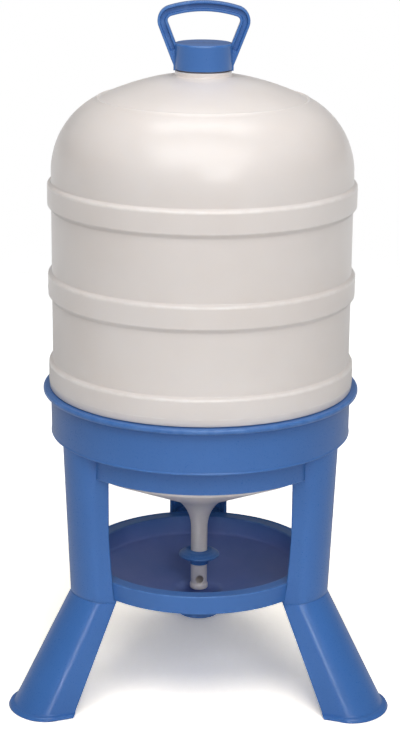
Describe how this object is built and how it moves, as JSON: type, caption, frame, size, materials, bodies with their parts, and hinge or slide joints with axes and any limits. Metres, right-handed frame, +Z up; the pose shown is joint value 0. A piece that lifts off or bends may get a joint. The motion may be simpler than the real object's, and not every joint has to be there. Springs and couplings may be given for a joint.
{
  "type": "poultry drinker",
  "caption": "Siphon water drinker: a milky domed tank with a screw cap and carrying handle, in a blue frame with splayed legs over a round drinking pan.",
  "frame": {"origin": "on the floor, in the middle of the box that encloses the whole drinker; the tank's axis is parallel to Z at x = 0, y = -0.0308", "axes": "+Z up along the tank; the front, between the left and the right leg, faces -Y; +X is to the right seen from the front"},
  "size_m": [0.422, 0.4094, 0.7639],
  "materials": {
    "blue_plastic": "satin moulded plastic",
    "milky_plastic": "milky blow-moulded plastic, faintly translucent",
    "black_rubber": "plain"
  },
  "bodies": {
    "stand": {"stand_ring": "blue_plastic", "column_back": "blue_plastic", "column_left": "blue_plastic", "column_right": "blue_plastic", "drinking_pan": "blue_plastic", "pan_well": "blue_plastic", "leg_back": "blue_plastic", "leg_left": "blue_plastic", "leg_right": "blue_plastic"},
    "water_tank": {"tank": "milky_plastic", "tank_funnel": "milky_plastic", "outlet_tube": "milky_plastic"},
    "seal": {"cap_seal": "black_rubber"},
    "cap": {"filler_cap": "blue_plastic"},
    "collar": {"valve_collar": "blue_plastic"}
  },
  "joints": [
    {"name": "tank_lift", "type": "slide", "parent": "stand", "child": "water_tank", "axis": [0, 0, 1], "range_m": [0, 0.25]},
    {"name": "cap_lift", "type": "slide", "parent": "water_tank", "child": "seal", "axis": [0, 0, 1], "range_m": [0, 0.0125]},
    {"name": "cap_turn", "type": "hinge", "parent": "seal", "child": "cap", "pos_m": [0, -0.03081, 0.7], "axis": [0, 0, 1], "range_deg": [0, 900]},
    {"name": "valve_slide", "type": "slide", "parent": "water_tank", "child": "collar", "axis": [0, 0, -1], "range_m": [0, 0.0226]}
  ],
  "couplings": [
    {"joint": "cap_lift", "follows": "cap_turn", "m_per_rad": 0.00079577}
  ]
}
